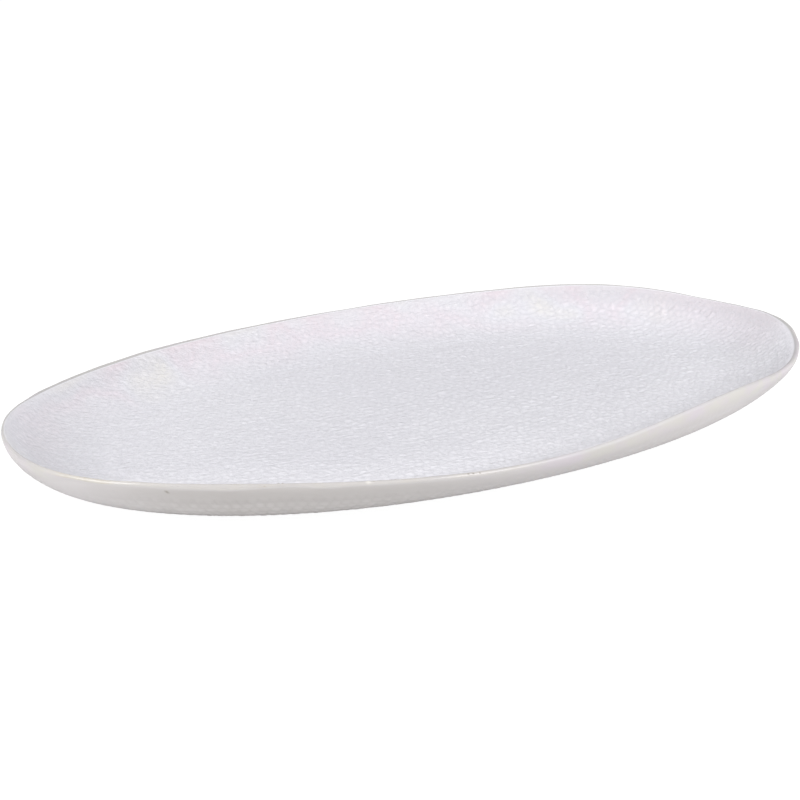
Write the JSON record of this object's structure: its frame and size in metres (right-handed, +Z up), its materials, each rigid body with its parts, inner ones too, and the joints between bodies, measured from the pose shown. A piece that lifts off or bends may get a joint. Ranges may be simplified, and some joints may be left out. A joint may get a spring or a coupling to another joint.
{
  "type": "serving platter",
  "caption": "Large oval porcelain serving platter with a flat floor, flared wall, gently waving lip and pebbled pearl glaze, standing on a low ground foot ring.",
  "frame": {"origin": "on the table plane, under the middle of the platter's outline", "axes": "+X along the platter's length, +Y across it, +Z up out of the well"},
  "size_m": [0.459, 0.257, 0.0317],
  "materials": {
    "fired_clay": "matte, unglazed",
    "pearl_glaze": "pearl satin, pebbled",
    "lip_glaze": "satin, breaking to cream and gold",
    "satin_glaze": "satin, warm grey"
  },
  "bodies": {
    "root": {"clay_body": "fired_clay", "foot_ring": "fired_clay", "well_glaze": "pearl_glaze", "lip_glaze": "lip_glaze", "wall_glaze": "satin_glaze", "base_glaze": "satin_glaze"}
  },
  "joints": []
}
